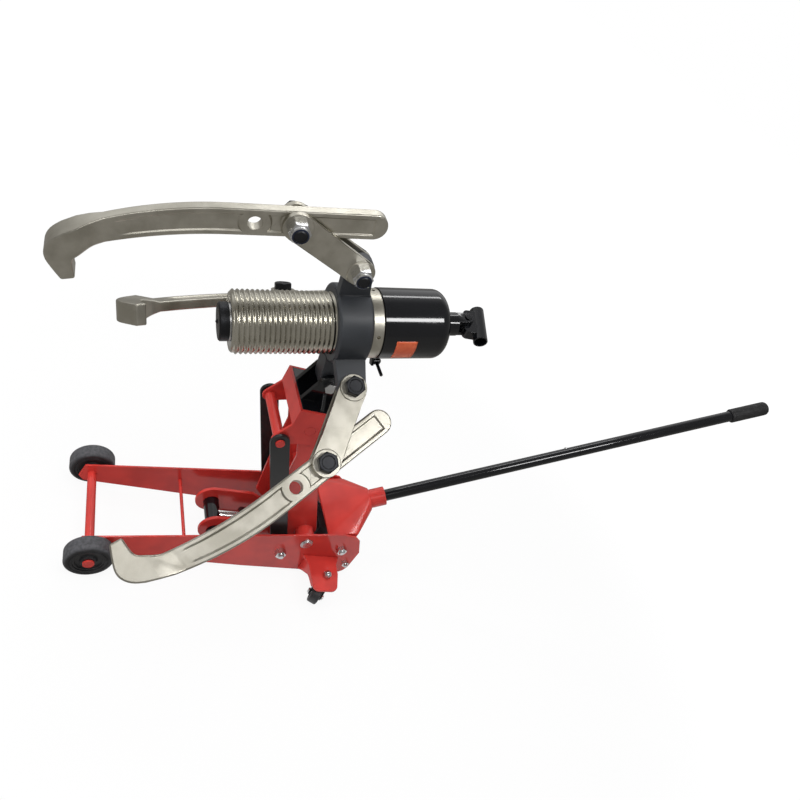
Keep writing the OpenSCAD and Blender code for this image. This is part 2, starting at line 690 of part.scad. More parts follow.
module handle_grip() color(grey) in_handle() difference() {
    union() {
        rod_x(grip_d, handle_len - grip_len, handle_len - 4);
        rod_x(grip_d - 6, handle_len - 5, handle_len);
    }
    rod_x(handle_d - 5, handle_len - grip_len - 1, handle_len - 4);
    for (k = [1 : 5]) translate([handle_len - k * grip_len / 6, 0, 0]) rotate([0, 90, 0])
        rotate_extrude() translate([grip_d / 2, 0]) circle(1.2);
}

module puller_head() color(grey) in_puller() difference() {
    union() {
        turned() translate([0, head_front]) polygon([[20, 0], [head_d / 2 - 4, 0], [head_d / 2, 4],
            [head_d / 2, head_len - 4], [head_d / 2 - 4, head_len], [20, head_len]]);
        for (i = [0 : 2]) rotate([jaw_turn[i], 0, 0]) plate(-bar_t / 2, bar_t / 2)
            strut([lug_s + 1, head_d / 2 - 12], [lug_s, lug_r], 32, lug_end);
        plate(-foot_w / 2, foot_w / 2)
            strut([8, 14 - head_d / 2], [0, -pivot_drop], 23, 21);
    }
    rod_x(thread_d + 2 * run, head_front - 1, head_rear + 1);
    for (i = [0 : 2]) rotate([jaw_turn[i], 0, 0]) translate([lug_s, 0, lug_r])
        rod_y(bolt_d + 2 * run, 60);
    translate([0, 0, -pivot_drop]) rod_y(tilt_pin_d + 2 * run, 80);
}
module thread_outline() polygon([
    [bore_d / 2, thread_front], [thread_d / 2 - 7, thread_front],
    [thread_d / 2 - thread_h, thread_front + 6],
    for (k = [0 : floor((body_0 - thread_front - 8) / pitch) - 1])
        let (s = thread_front + 6 + k * pitch) each
        [[thread_d / 2 - thread_h, s + 0.2 * pitch], [thread_d / 2, s + 0.45 * pitch],
         [thread_d / 2, s + 0.7 * pitch], [thread_d / 2 - thread_h, s + 0.95 * pitch]],
    [thread_d / 2 - thread_h, body_0], [bore_d / 2, body_0]]);
module threaded_cylinder() color(black) in_puller() turned() thread_outline();
module gland_ring() color(black) in_puller() turned()
    translate([ram_d / 2 + run, thread_front]) square([(bore_d - ram_d) / 2 - 2 * run, 20]);
module lock_collar() color(steel) in_puller() difference() {
    turned() translate([0, collar_0]) polygon([[thread_d / 2 + fit, 0], [collar_d / 2 - 2, 0],
        [collar_d / 2, 2], [collar_d / 2, collar_len - 2], [collar_d / 2 - 2, collar_len],
        [thread_d / 2 + fit, collar_len]]);
    for (k = [0 : 3]) rotate([90 * k - 14, 0, 0]) translate([collar_0 + collar_len / 2, 0, collar_d / 2 - 6])
        cylinder(d = 7, h = 10);
}
module cylinder_body() color(black) in_puller() {
    difference() {
        turned() translate([0, body_0]) union() {
            square([body_d / 2 - 26, body_len]);
            square([body_d / 2, body_len - 26]);
            translate([body_d / 2 - 26, body_len - 26]) circle(26);
        }
        rod_x(bore_d, body_0 - 1, body_0 + 112);
    }
    rotate([lever_turn, 0, 0]) translate([body_0, -8, -body_d / 2 - 18]) cube([5, 16, 22]);
    rotate([lever_turn, 0, 0]) translate([0, 0, -body_d / 2 - 10]) rod_x(8, body_0 + 4, body_0 + 22);
}
module pump_neck() color(black) in_puller() rotate([socket_roll, 0, 0]) {
    difference() {
        union() {
            rod_x(pump_neck_d, body_1, body_1 + 34);
            for (k = [-1, 1]) translate([0, 0, k * 17]) linear_extrude(10, center = true) union() {
                translate([body_1 + 22, -13]) square([pin_s - body_1 - 22, 26]);
                translate([pin_s, 0]) circle(13);
            }
        }
        rod_x(16 + 2 * run, body_1 + 2, body_1 + 40);
        translate([pin_s, 0, 0]) cylinder(d = 14 + 2 * fit, h = 60, center = true);
    }
    translate([pin_s, 0, 0]) cylinder(d = 14, h = 50, center = true);
}
module pump_plunger() color(steel) in_puller() rod_x(16, body_1 + 7, body_1 + 40);
module pump_socket() color(black) in_puller() rotate([socket_roll, 0, 0]) translate([pin_s, 0, 0])
    rotate([0, 0, -socket_swing]) difference() {
        union() {
            linear_extrude(23.4, center = true) union() {
                circle(12);
                hull() {
                    for (k = [-1, 1]) translate([4, k * 21]) circle(10);
                    translate([21, -31]) square([10, 62]);
                }
            }
            translate([31, 0, 0]) rod_y(socket_d, socket_len);
        }
        cylinder(d = 14 + 2 * run, h = 60, center = true);
        translate([31, 0, 0]) rod_y(socket_bore, socket_len + 2);
    }
module puller_ram() color(steel) in_puller() {
    rod_x(ram_d, thread_front - 2, thread_front + ram_len - 2);
    rod_x(bore_d - 2 * run, thread_front + ram_len - piston_len, thread_front + ram_len);
}
module ram_nose() color(black) in_puller() turned() translate([0, thread_front - 21]) polygon([
    [0, -4], [1.5, -4], [5, 0], [nose_d / 2 - 3, 0], [nose_d / 2, 3], [nose_d / 2, 19], [0, 19]]);
module release_lever() color(black) in_puller() rotate([lever_turn, 0, 0])
    translate([0, 0, -body_d / 2 - 10]) {
    difference() {
        rod_x(15, body_0 + 5 + side, body_0 + 19);
        rod_x(8 + 2 * run, body_0, body_0 + 30);
    }
    translate([body_0 + 12, 0, 0]) rotate([-lever_turn, 0, 0]) stub_y(7, -45, -5.5);
}

module links(i) color(nickel) in_link(i) for (k = [0, 1]) mirror([0, k, 0]) difference() {
    union() {
        plate(bolt_in, bolt_out - boss_h) strut([0, 0], [link_len, 0], link_w / 2, link_w / 2);
        for (x = [0, link_len]) translate([x, 0, 0]) stub_y(link_w, bolt_in, bolt_out);
    }
    for (x = [0, link_len]) translate([x, 0, 0]) stub_y(bolt_d + 2 * fit, 0, bolt_out + 1);
}
module flip(i) mirror([0, i == 2 ? 1 : 0, 0]) children();
module bolts(i) color(black) in_link(i) flip(i) for (x = [0, link_len]) translate([x, 0, 0]) {
    stub_y(bolt_d, -bolt_out - 1, bolt_out + nut_h + 2);
    hex_y(bolt_af, -bolt_out - head_h, -bolt_out);
}
module nuts(i) color(steel) in_link(i) flip(i) for (x = [0, link_len]) translate([x, 0, 0])
    nut_y(bolt_out, bolt_d, bolt_af, nut_h);
// Jaw in its own frame: X forward from the jaw bolt, second axis outward.
// The bar bends inward from bend_x on: edge(x, y0, r) is its edge, y0 from the middle, radius r.
function edge(x, y0, r) = y0 - r + sqrt(r * r - pow(x - bend_x, 2));
function edge_line(x0, x1, y0, r) = [for (k = [0 : 16]) let (x = x0 + (x1 - x0) * k / 16)
    [x, edge(x, y0, r)]];
module jaw_outline() {
    h = jaw_w / 2;
    tail = [for (k = [0 : 24]) [h - tail_len - h * sin(k * 7.5), -h * cos(k * 7.5)]];
    back = edge(claw_x, h, bend_out + h);
    root = edge(claw_x, -h, bend_in);
    crown = [[0.31, 0.23], [0.60, 0.46], [0.83, 0.72], [0.96, 1.04]];
    claw = [[1, 0.25], [0.94, 0.5], [0.83, 0.75], [0.72, 1], [0.42, 0.95], [0.44, 0.69], [0.44, 0.47],
        [0.39, 0.34], [0.25, 0.22]];
    polygon(concat(tail, edge_line(bend_x, claw_x, h, bend_out + h),
        [for (p = crown) [claw_x + p[0] * claw_len, back + p[1] * (root - back)]],
        [for (p = claw) [claw_x + p[0] * claw_len, root - p[1] * claw_drop]],
        edge_line(claw_x, bend_x, -h, bend_in)));
}
module pocket_outline() difference() {
    w = jaw_w / 2 - 8.5;
    union() {
        translate([-tail_len + 24, -w]) square([tail_len + spare_x, 2 * w]);
        polygon(concat([[spare_x, -w], [spare_x, w]], edge_line(bend_x, claw_x - 25, w, bend_out + w),
            edge_line(claw_x - 25, bend_x, -w, bend_in)));
    }
    for (x = [0, spare_x]) translate([x, 0]) circle(bolt_d / 2 + 14);
}
module jaw(i) color(nickel) in_jaw(i) difference() {
    intersection() {
        plate(-claw_w / 2, claw_w / 2) jaw_outline();
        translate([0, 0, -2 * claw_drop - jaw_w]) linear_extrude(2 * claw_drop + 3 * jaw_w)
            polygon([for (k = [-1, 1], p = k < 0 ? [0, 1, 2, 3] : [3, 2, 1, 0])
                [[-2 * tail_len, claw_x - 20, claw_x + 20, claw_x + 2 * claw_len][p],
                k * (p < 2 ? bar_t : claw_w) / 2]]);
    }
    for (k = [0, 1]) mirror([0, k, 0]) plate(bar_t / 2 - pocket_h, bar_t / 2 + 1) pocket_outline();
    rod_y(bolt_d + 2 * run, 60);
    translate([spare_x, 0, 0]) rod_y(bolt_d + 1, 60);
}
module top_links() links(0);
module top_bolts() bolts(0);
module top_nuts() nuts(0);
module top_jaw() jaw(0);
module left_links() links(1);
module left_bolts() bolts(1);
module left_nuts() nuts(1);
module left_jaw() jaw(1);
module right_links() links(2);
module right_bolts() bolts(2);
module right_nuts() nuts(2);
module right_jaw() jaw(2);

left_side_plate();
right_side_plate();
front_axle();
tie_rods();
caster_ears();
arm_shaft();
pivot_bolts();
pump_block();
jack_cylinder();
left_front_tyre();
left_front_hub();
right_front_tyre();
right_front_hub();
left_caster_fork();
left_caster_wheel();
left_caster_fasteners();
right_caster_fork();
right_caster_wheel();
right_caster_fasteners();
lift_arm();
left_guide_strap();
right_guide_strap();
carriage_frame();
carriage_cross_tube();
arm_top_pin();
puller_bracket();
bracket_bolt();
lift_ram();
crosshead_shaft();
pull_links();
handle_yoke();
jack_plunger();
handle_lower_tube();
handle_upper_tube();
handle_grip();
puller_head();
gland_ring();
threaded_cylinder();
lock_collar();
cylinder_body();
pump_neck();
puller_ram();
ram_nose();
release_lever();
pump_socket();
pump_plunger();
top_links();
top_bolts();
top_nuts();
top_jaw();
left_links();
left_bolts();
left_nuts();
left_jaw();
right_links();
right_bolts();
right_nuts();
right_jaw();
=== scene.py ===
"""Hydraulic three-jaw gear puller on its lifting trolley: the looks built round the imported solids."""
import json
from math import cos, pi, radians, sin, tan

import bmesh
import bpy
from mathutils import Matrix, Vector

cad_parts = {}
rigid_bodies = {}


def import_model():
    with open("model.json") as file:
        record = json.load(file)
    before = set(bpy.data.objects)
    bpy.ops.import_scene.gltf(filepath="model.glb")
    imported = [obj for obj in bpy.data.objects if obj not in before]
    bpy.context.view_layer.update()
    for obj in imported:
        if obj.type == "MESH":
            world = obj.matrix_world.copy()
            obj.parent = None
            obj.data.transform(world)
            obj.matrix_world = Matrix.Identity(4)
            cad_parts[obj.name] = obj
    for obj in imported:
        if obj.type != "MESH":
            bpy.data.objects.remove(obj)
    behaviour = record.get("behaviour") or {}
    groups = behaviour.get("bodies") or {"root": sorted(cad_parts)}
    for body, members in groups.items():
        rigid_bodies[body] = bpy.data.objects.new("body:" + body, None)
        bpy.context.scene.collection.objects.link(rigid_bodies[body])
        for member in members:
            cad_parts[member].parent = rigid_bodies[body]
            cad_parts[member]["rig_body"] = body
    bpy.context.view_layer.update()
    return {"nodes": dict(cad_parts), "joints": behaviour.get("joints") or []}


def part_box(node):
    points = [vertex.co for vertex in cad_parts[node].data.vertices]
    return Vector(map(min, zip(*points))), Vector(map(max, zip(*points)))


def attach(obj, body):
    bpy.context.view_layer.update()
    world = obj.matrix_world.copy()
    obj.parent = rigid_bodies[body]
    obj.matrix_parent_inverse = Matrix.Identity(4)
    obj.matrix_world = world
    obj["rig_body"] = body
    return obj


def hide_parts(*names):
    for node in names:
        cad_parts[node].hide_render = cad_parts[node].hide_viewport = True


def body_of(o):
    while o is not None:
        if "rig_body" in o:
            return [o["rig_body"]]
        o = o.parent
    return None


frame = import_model()

# Camera. It stands high at the jaw end on the near side, rolled clockwise, so that
# the handle climbs across the picture and the cylinder lies almost level.
eye_place = Vector((-0.27476, -1.05489, 1.37655))
to_right, to_top = Vector((0.83112, -0.26875, 0.48684)), Vector((-0.18350, 0.69390, 0.69630))
to_back = Vector((-0.52495, -0.66804, 0.52740))
eye = bpy.data.objects.new("eye", bpy.data.cameras.new("eye"))
bpy.context.collection.objects.link(eye)
eye.matrix_world = Matrix.Translation(eye_place) @ Matrix((to_right, to_top, to_back)).transposed().to_4x4()
eye.data.sensor_width, eye.data.lens = 36, 30.747
eye.data.clip_start, eye.data.clip_end = 0.05, 1000
bpy.context.scene.camera = eye

# Side plates and caster ears. Two long profiles cut from 5 mm steel plate, with a
# folded ear welded out on each side for a caster, all sprayed with bright red enamel.
mm = 0.001


class Wire:
    """One socket of a shader. Sums on it add Math nodes."""

    def __init__(self, tree, socket=None):
        self.tree, self.socket = tree, socket

    def make(self, kind, settings, sockets, out=0):
        """Adds a node: its settings first, then the values or links of its sockets."""
        node = self.tree.nodes.new("ShaderNode" + kind)
        for name, value in settings.items():
            setattr(node, name, value)
        for name, value in sockets.items():
            if isinstance(value, Wire):
                self.tree.links.new(value.socket, node.inputs[name])
            else:
                node.inputs[name].default_value = value
        return Wire(self.tree, node.outputs[out] if len(node.outputs) else None)

    def work(self, operation, first, second):
        return self.make("Math", {"operation": operation}, {0: first, 1: second})

    def __add__(self, other):
        return self.work("ADD", self, other)

    def __radd__(self, other):
        return self.work("ADD", other, self)

    def __sub__(self, other):
        return self.work("SUBTRACT", self, other)

    def __rsub__(self, other):
        return self.work("SUBTRACT", other, self)

    def __mul__(self, other):
        return self.work("MULTIPLY", self, other)

    def __rmul__(self, other):
        return self.work("MULTIPLY", other, self)


def blank(name):
    """A new material with an empty tree, and a wire to build on."""
    material = bpy.data.materials.new(name)
    material.use_nodes = True
    material.node_tree.nodes.clear()
    return material, Wire(material.node_tree)


def surface_point(wire):
    """The point of the piece that is shaded, in metres."""
    return wire.make("TexCoord", {}, {}, out="Object")


def speckle(wire, size, detail=2.0, stretch=(1, 1, 1)):
    """Noise over the piece whose spots are about size millimetres across."""
    spot = wire.make("Mapping", {}, {"Vector": surface_point(wire), "Scale": stretch})
    return wire.make("TexNoise", {}, {"Vector": spot, "Scale": 1 / (size * mm), "Detail": detail})


def band(wire, value, low, high):
    """0 below low, 1 above high, and a soft step between."""
    return wire.make("MapRange", {"interpolation_type": "SMOOTHSTEP"}, {0: value, 1: low, 2: high})


def blended(wire, share, first, second):
    """Two colours mixed by share."""
    first, second = (tone if isinstance(tone, Wire) else (*tone, 1) for tone in (first, second))
    return wire.make("Mix", {"data_type": "RGBA"}, {0: share, 6: first, 7: second}, out=2)


def dented(wire, height, depth):
    """A normal from a height map that is depth millimetres deep."""
    return wire.make("Bump", {}, {"Strength": 1.0, "Distance": depth * mm, "Height": height})


def settle(wire, sockets):
    """Ends the tree in one shader."""
    skin = wire.make("BsdfPrincipled", {}, sockets)
    wire.make("OutputMaterial", {}, {"Surface": skin})


def corner_shade(wire, reach):
    """1 in the open, falling to 0 in a corner or groove about reach millimetres deep."""
    open_sky = wire.make("AmbientOcclusion", {"samples": 6, "only_local": True},
                         {"Distance": reach * mm}, out="AO")
    return band(wire, open_sky, 0.25, 0.85)


def enamel(name, deep, light, dull, peel, gloss):
    """Sprayed paint: cloudy film, orange peel, and a little dust that dulls it."""
    material, wire = blank(name)
    cloud = band(wire, speckle(wire, 70), 0.3, 0.7)
    dust = band(wire, speckle(wire, 9, 4.0), 0.45, 0.80)
    grit = speckle(wire, 1.6)
    shade = corner_shade(wire, 6)
    settle(wire, {
        # The base colour darkens toward deep in corners and grooves: painted shade.
        "Base Color": blended(wire, (cloud * 0.5 + 0.5) * shade, deep, light),
        "Roughness": dull + dust * 0.03 + cloud * 0.05 + (1 - shade) * 0.15,
        "Normal": dented(wire, speckle(wire, 4) * 0.8 + grit * 0.2, peel),
        "Specular IOR Level": gloss, "IOR": 1.5,
    })
    return material


def mounted(piece, slot, *nodes):
    """Puts a piece on the body of the CAD nodes that it stands for."""
    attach(piece, body_of(frame["nodes"][nodes[0]])[0])
    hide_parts(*nodes)


def rounded(piece, edge):
    """Breaks every sharp edge of a piece by edge millimetres."""
    bevel = piece.modifiers.new("broken_edge", "BEVEL")
    bevel.width, bevel.segments = edge * mm, 2
    bevel.limit_method, bevel.angle_limit = "ANGLE", radians(32)
    bevel.use_clamp_overlap, bevel.harden_normals = False, True
    return piece


def object_from(name, shell, finish, place=None):
    """An object from a bmesh, smooth shaded."""
    mesh = bpy.data.meshes.new(name)
    shell.to_mesh(mesh)
    shell.free()
    if "custom_normal" in mesh.attributes:
        mesh.attributes.remove(mesh.attributes["custom_normal"])
    mesh.materials.clear()
    mesh.materials.append(finish)
    mesh.polygons.foreach_set("use_smooth", [True] * len(mesh.polygons))
    mesh.polygons.foreach_set("material_index", [0] * len(mesh.polygons))
    piece = bpy.data.objects.new(name, mesh)
    bpy.context.collection.objects.link(piece)
    if place:
        piece.matrix_world = place
    return piece


def whole(node):
    """A copy of a CAD solid's mesh, with each flat face made one face."""
    shell = bmesh.new()
    shell.from_mesh(frame["nodes"][node].data)
    bmesh.ops.remove_doubles(shell, verts=shell.verts, dist=2e-6)
    bmesh.ops.dissolve_limit(shell, angle_limit=radians(0.4), verts=shell.verts, edges=shell.edges)
    return shell


def dressed(node, finish, slot, edge):
    """Makes a CAD solid a finished piece with its edges broken."""
    piece = object_from(node + "_skin", whole(node), finish)
    mounted(rounded(piece, edge), slot, node)


red_enamel = enamel("red_enamel", (0.46, 0.036, 0.032), (0.78, 0.060, 0.048), 0.13, 0.006, 0.45)
for hand in ("left", "right"):
    dressed(f"{hand}_side_plate", red_enamel, "red_paint", 0.7)
dressed("caster_ears", red_enamel, "red_paint", 1.0)

# Axle, tie rods and pivot shafts. Round bar turned to length: the axle and the front
# rod are sprayed red with the plates, the rest is zinc plated, with hexagon nuts.
joints = {joint["name"]: joint for joint in frame["joints"]}


def pivot(joint):
    """Where a joint lies at rest, in millimetres."""
    return Vector(joints[joint]["pos_m"]) / mm


def plated(name, deep, light, dull, bright, ripple=0.01, stretch=(1, 1, 1), soil_and_shade=(0.20, 0.19, 0.17)):
    """Bare or plated metal: cloudy tone, fine grain, varied polish, and corners darkened, partly soil, partly
    painted shade.
    """
    material, wire = blank(name)
    cloud = band(wire, speckle(wire, 45, 3.0), 0.3, 0.7)
    grain = speckle(wire, 1.2, 3.0, stretch)
    open_tone = blended(wire, cloud * 0.6 + grain * 0.4, deep, light)
    settle(wire, {
        # Corners and grooves darken toward the soil colour: partly soil, partly painted shade.
        "Base Color": blended(wire, corner_shade(wire, 5), soil_and_shade, open_tone),
        "Metallic": 1.0,
        "Roughness": bright + (dull - bright) * (cloud * 0.5 + grain * 0.5),
        "Normal": dented(wire, speckle(wire, 14) * 0.75 + grain * 0.25, ripple),
    })
    return material


def point_round(shell, radius, angle, station):
    """A new point of a round piece: station millimetres along X and radius millimetres from it."""
    return shell.verts.new((station * mm, radius * cos(angle) * mm, radius * sin(angle) * mm))


def turned(name, outline, place, finish, steps):
    """A closed outline of (radius, station) millimetres turned about the X axis of place."""
    shell = bmesh.new()
    rows = [[point_round(shell, r, 2 * pi * k / steps, s) for r, s in outline] for k in range(steps)]
    for here, there in zip(rows, rows[1:] + rows[:1]):
        for i in range(len(outline)):
            j = (i + 1) % len(outline)
            shell.faces.new((here[i], here[j], there[j], there[i]))
    bmesh.ops.remove_doubles(shell, verts=shell.verts, dist=1e-7)
    bmesh.ops.dissolve_degenerate(shell, edges=shell.edges, dist=1e-7)
    bmesh.ops.recalc_face_normals(shell, faces=shell.faces)
    piece = object_from(name, shell, finish, place)
    piece.data.set_sharp_from_angle(angle=radians(35))
    return piece


def bar(radius, start, end, chamfer, bore=0):
    """Outline of a round bar with chamfered ends, bored through if asked."""
    return [(bore, start), (radius - chamfer, start), (radius, start + chamfer),
            (radius, end - chamfer), (radius - chamfer, end), (bore, end)]


def axes_at(spot, x, y):
    """A place at spot millimetres with these X and Y axes."""
    return Matrix.Translation(spot * mm) @ Matrix((x, y, x.cross(y))).transposed().to_4x4()


def across(spot, y=0):
    """A place level with spot and y millimetres from the trolley's middle, its X axis across the trolley."""
    return axes_at(Vector((spot.x, y, spot.z)), Vector((0, 1, 0)), Vector((-1, 0, 0)))


def hexagon(name, flats, height, place, finish, dish=0.0, foot=0.0):
    """A hexagon head along X: flats wide, its top corners turned off, and a shallow dish if asked."""
    shell, steps, top = bmesh.new(), 72, 0.47 * flats
    rings = [[], [], [], [], []]
    for k in range(steps):
        angle = 2 * pi * k / steps
        corner = flats / 2 / cos((angle + pi / 6) % (pi / 3) - pi / 6)
        cut = height - (corner - top) * tan(radians(30))
        for ring, (radius, station) in zip(rings, ((corner, foot), (corner, cut), (top, height),
                                                   (0.78 * top, height), (0.68 * top, height - dish))):
            ring.append(point_round(shell, radius, angle, station))
    for lower, upper in zip(rings, rings[1:]):
        for k in range(steps):
            j = (k + 1) % steps
            shell.faces.new((lower[k], lower[j], upper[j], upper[k]))
    shell.faces.new(rings[-1])
    shell.faces.new(rings[0][::-1])
    bmesh.ops.recalc_face_normals(shell, faces=shell.faces)
    piece = object_from(name, shell, finish, place)
    piece.data.set_sharp_from_angle(angle=radians(20))
    return piece


zinc = plated("zinc_plate", (0.50, 0.51, 0.52), (0.80, 0.80, 0.80), 0.34, 0.18)
plate_low, plate_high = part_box("left_side_plate")
outer_face, half_gap = -plate_low[1] / mm, -plate_high[1] / mm - 0.1
axle, strap_bolt, yoke_bolt = pivot("left_wheel_spin"), pivot("left_strap_swing"), pivot("handle_pump")
front_rod, rear_bar = Vector((203, 0, 65)), Vector((632.5, 0, 50.7))
dressed("front_axle", red_enamel, "red_paint", 1.0)
axle_sleeve = turned("axle_sleeve", bar(9.9, -half_gap, half_gap, 0.3, 8.1), across(axle), red_enamel, 64)
mounted(axle_sleeve, "red_paint", "front_axle")
front_tie = turned("front_tie_rod", bar(4, -half_gap, half_gap, 0.4), across(front_rod), red_enamel, 40)
mounted(front_tie, "red_paint", "tie_rods")
rear_tie = turned("rear_tie_bar", bar(10, -half_gap, half_gap, 0.6), across(rear_bar), zinc, 64)
mounted(rear_tie, "zinc", "tie_rods")
dressed("arm_shaft", zinc, "zinc", 1.0)
for hand, side, turn in (("left", -outer_face, pi), ("right", outer_face, 0)):
    outward = Matrix.Rotation(turn, 4, "Z")
    for name, spot, flats, tall, reach, node in (("tie_bar", rear_bar, 17, 9, 15, "tie_rods"),
                                                 ("strap", strap_bolt, 24, 14, 20, "pivot_bolts"),
                                                 ("yoke", yoke_bolt, 24, 11, 15, "pivot_bolts")):
        place = across(spot, side) @ outward
        mounted(hexagon(f"{hand}_{name}_nut", flats, tall, place, zinc), "zinc", node)
        stud = turned(f"{hand}_{name}_stud", bar(0.33 * flats, -4, reach, 2.2), place, zinc, 48)
        mounted(stud, "zinc", node)
    for name, spot, inner_end in (("strap", strap_bolt, -22.5), ("yoke", yoke_bolt, -18)):
        place = across(spot, side) @ outward
        pin = turned(f"{hand}_{name}_pin", bar(10, inner_end, 0, 0.8), place, zinc, 64)
        mounted(pin, "zinc", "pivot_bolts")

# Front wheels. Solid black rubber tyres with a moulded ring in each flank and floor
# dust on the tread, on dark plastic hubs that run on the axle.


def moulded(name, deep, light, dull, tread=None):
    """Moulded rubber or plastic: fine leathery grain, a faint bloom, and floor dust past a tread's radius."""
    material, wire = blank(name)
    bloom = band(wire, speckle(wire, 26, 4.0), 0.42, 0.70)
    pore = speckle(wire, 0.9, 3.0)
    tone = blended(wire, bloom * 0.7 + pore * 0.3, deep, light)
    if tread:
        spot = wire.make("VectorMath", {"operation": "MULTIPLY"}, {0: surface_point(wire), 1: (1, 0, 1)})
        centre = axle.x * mm, 0, axle.z * mm
        rim = wire.make("VectorMath", {"operation": "DISTANCE"}, {0: spot, 1: centre}, out="Value")
        scuff = band(wire, speckle(wire, 6, 4.0), 0.25, 0.75)
        dusty = band(wire, rim, tread * mm, axle.z * mm) * (0.4 + 0.6 * scuff)
        tone = blended(wire, dusty, tone, (0.11, 0.11, 0.12))
    settle(wire, {
        "Base Color": tone,
        "Roughness": dull - bloom * 0.10 + pore * 0.08,
        "Normal": dented(wire, pore * 0.6 + speckle(wire, 3) * 0.4, 0.03),
    })
    return material


rubber = moulded("tyre_rubber", (0.014, 0.014, 0.016), (0.034, 0.034, 0.038), 0.50, tread=42)
hub_plastic = moulded("hub_plastic", (0.020, 0.020, 0.022), (0.045, 0.045, 0.048), 0.45)
for hand in ("left", "right"):
    dressed(f"{hand}_front_tyre", rubber, "tyre", 0.5)
    dressed(f"{hand}_front_hub", hub_plastic, "wheel_plastic", 0.5)

# Casters. Pressed forks, painted black, that swivel on a stud through the ear under a
# zinc cap, with small hard plastic wheels on a riveted axle.
black_enamel = enamel("black_enamel", (0.0025, 0.003, 0.004), (0.005, 0.0055, 0.0075), 0.07, 0.002, 0.55)
cap_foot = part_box("caster_ears")[1][2] / mm + 0.2
cap_outline = [(6.3, 8.9), (9.2, 8.9), (9.1, 10.6), (8.0, 12.8), (5.8, 14.6), (3, 15.6), (0, 15.9),
               (0, 12.2), (6.3, 12.2)]
for hand in ("left", "right"):
    dressed(f"{hand}_caster_fork", black_enamel, "black_paint", 0.5)
    dressed(f"{hand}_caster_wheel", hub_plastic, "wheel_plastic", 0.5)
    dressed(f"{hand}_caster_fasteners", zinc, "zinc", 0.6)
    stud_foot = pivot(f"{hand}_caster_swivel") + Vector((0, 0, cap_foot))
    upright = axes_at(stud_foot, Vector((0, 0, 1)), Vector((0, 1, 0)))
    cap = turned(f"{hand}_caster_cap", cap_outline, upright, zinc, 48)
    mounted(cap, "zinc", f"{hand}_caster_fasteners")

# Lift jack. A black barrel and a cast pump block between the plates, with a ground ram
# that pushes a cross shaft and its two pull links.
cast_grey = enamel("cast_grey", (0.025, 0.028, 0.033), (0.045, 0.049, 0.056), 0.40, 0.05, 0.4)
ground = plated("ground_steel", (0.62, 0.62, 0.62), (0.74, 0.74, 0.73), 0.30, 0.16, 0.004, (1, 0.05, 1))
dressed("jack_cylinder", black_enamel, "black_paint", 1.0)
dressed("pump_block", cast_grey, "dark_cast", 1.2)
dressed("lift_ram", ground, "ground_steel", 0.8)
dressed("crosshead_shaft", black_enamel, "black_paint", 1.2)
dressed("pull_links", red_enamel, "red_paint", 0.8)
dressed("jack_plunger", ground, "ground_steel", 0.5)

# Lift arm, guide straps and carriage. Red plate weldments that raise the puller, with
# two flat black straps that keep the carriage level, and a black bracket bolted on top.
satin_black = enamel("satin_black", (0.010, 0.011, 0.012), (0.022, 0.023, 0.024), 0.30, 0.01, 0.45)
dressed("lift_arm", red_enamel, "red_paint", 0.9)
for hand in ("left", "right"):
    dressed(f"{hand}_guide_strap", satin_black, "black_paint", 0.8)
dressed("carriage_frame", red_enamel, "red_paint", 0.9)
dressed("carriage_cross_tube", red_enamel, "red_paint", 0.7)
dressed("arm_top_pin", red_enamel, "red_paint", 0.8)
dressed("puller_bracket", black_enamel, "black_paint", 0.9)
dressed("bracket_bolt", zinc, "zinc", 0.7)

# Handle. A pressed red yoke holds a long two-piece black tube, with a zinc spring
# button where the two meet and a ridged rubber grip on its end.


def along(joint):
    """The place of a joint whose axis lies in the trolley's middle plane, its X axis along that axis."""
    return axes_at(pivot(joint), Vector(joints[joint]["axis"]), Vector((0, 1, 0)))


grip_rubber = moulded("grip_rubber", (0.012, 0.012, 0.013), (0.026, 0.026, 0.028), 0.55)
dressed("handle_yoke", red_enamel, "red_paint", 1.2)
dressed("handle_lower_tube", black_enamel, "black_paint", 0.5)
dressed("handle_upper_tube", black_enamel, "black_paint", 0.5)
handle = along("handle_twist")
grip_start, grip_end, grip_bore = 1055, 1179.2, 13
first_rib, rib_step, ribs, rib_top, rib_foot = 1058.5, 2.8, 39, 20.2, 19.8
sleeve = [(grip_bore, grip_start), (17.6, grip_start), (18.6, grip_start + 1.2)]
for k in range(ribs):
    rib = first_rib + rib_step * k
    sleeve += [(rib_top, rib), (rib_top, rib + 1.6), (rib_foot, rib + 2), (rib_foot, rib + 2.4)]
sleeve += [(radius, grip_end - back) for radius, back in (
    (20.1, 10.7), (19.4, 7.4), (17.6, 4.2), (14.4, 1.8), (9, 0.4), (0, 0), (0, 3.2), (grip_bore, 3.2))]
mounted(turned("grip_sleeve", sleeve, handle, grip_rubber, 64), "grip", "handle_grip")
button_along, button_roll = 530, radians(-40)
button_way = (handle @ Matrix.Translation((button_along * mm, 0, 0)) @ Matrix.Rotation(button_roll, 4, "X")
              @ Matrix.Rotation(radians(-90), 4, "Y"))
button_outline = [(0, 13), (4, 13), (4, 16.4), (3.4, 17.4), (2, 18.1), (0, 18.3)]
button = turned("spring_button", button_outline, button_way, zinc, 32)
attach(button, "handle")

# Puller head. One dark casting with three pairs of lug faces for the jaws and a foot
# lug for the carriage, bored and tapped for the cylinder.
dressed("puller_head", cast_grey, "dark_cast", 1.6)

